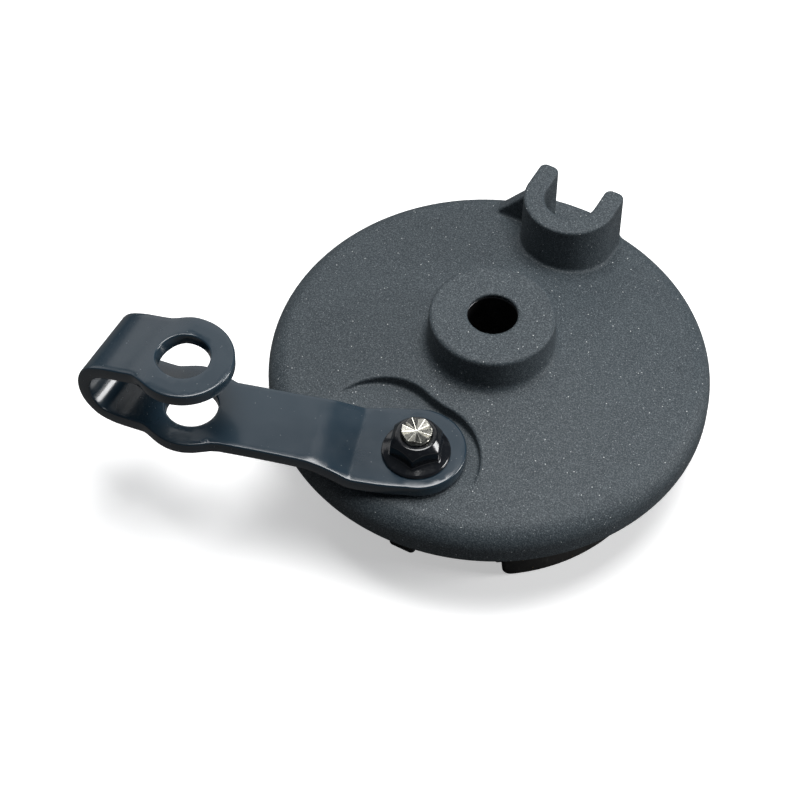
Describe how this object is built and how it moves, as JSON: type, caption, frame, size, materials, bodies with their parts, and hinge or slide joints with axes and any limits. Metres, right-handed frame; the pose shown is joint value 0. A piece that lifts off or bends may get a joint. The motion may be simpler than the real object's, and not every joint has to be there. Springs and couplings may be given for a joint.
{
  "type": "drum brake backing plate",
  "caption": "Small drum brake backing plate with a central hub, torque fork, cam lever with a folded cable eye, and pivoting shoes with return springs.",
  "frame": {"origin": "on the axle axis, in the plane of the plate rim's open lower edge", "axes": "+Z along the axle, out of the hub's outer face; +Y towards the torque fork and the shoe anchor; the cam spindle is on -Y"},
  "size_m": [0.114, 0.1039, 0.0492],
  "materials": {
    "plate_coat": "textured matt powder coat over die-cast aluminium",
    "lever_coat": "smooth semi-gloss black coat over pressed steel",
    "nut_finish": "gloss black plated steel",
    "spindle_steel": "bright steel, staked tip",
    "sleeve_steel": "dark turned steel",
    "zinc_steel": "bright zinc plated steel",
    "spring_steel": "oiled spring wire",
    "shoe_casting": "as-cast aluminium",
    "friction_lining": "moulded friction material, matt",
    "bush_bronze": "sintered bronze",
    "seal_rubber": "matt black nitrile"
  },
  "bodies": {
    "plate": {"backing_plate": "plate_coat", "axle_sleeve": "sleeve_steel", "spindle_bush": "bush_bronze", "spindle_o_ring": "seal_rubber", "thrust_washer": "zinc_steel", "anchor_pin": "zinc_steel", "anchor_spacer": "zinc_steel", "anchor_washer": "zinc_steel", "anchor_clip": "spring_steel", "anchor_side_spring": "spring_steel", "cam_side_spring": "spring_steel"},
    "cam_lever": {"cam_spindle": "spindle_steel", "lever_arm": "lever_coat", "flange_nut": "nut_finish"},
    "leading": {"leading_shoe": "shoe_casting", "leading_lining": "friction_lining", "leading_cam_pad": "zinc_steel"},
    "trailing": {"trailing_shoe": "shoe_casting", "trailing_lining": "friction_lining", "trailing_cam_pad": "zinc_steel"}
  },
  "joints": [
    {"name": "brake_cam", "type": "hinge", "parent": "plate", "child": "cam_lever", "pos_m": [0, -0.0328, 0.005], "axis": [0, 0, -1], "range_deg": [0, 30], "stiffness_Nm_per_rad": 0.8, "springref_deg": -11.46},
    {"name": "leading_pivot", "type": "hinge", "parent": "plate", "child": "leading", "pos_m": [0, 0.0328, -0.0099], "axis": [0, 0, -1], "range_deg": [0, 1.7], "deforming": ["cam_side_spring", "anchor_side_spring"]},
    {"name": "trailing_pivot", "type": "hinge", "parent": "plate", "child": "trailing", "pos_m": [0, 0.0328, -0.0099], "axis": [0, 0, 1], "range_deg": [0, 1.9]}
  ],
  "couplings": [
    {"joint": "leading_pivot", "follows": "brake_cam", "ratio": 0.055},
    {"joint": "trailing_pivot", "follows": "brake_cam", "ratio": 0.0605}
  ]
}
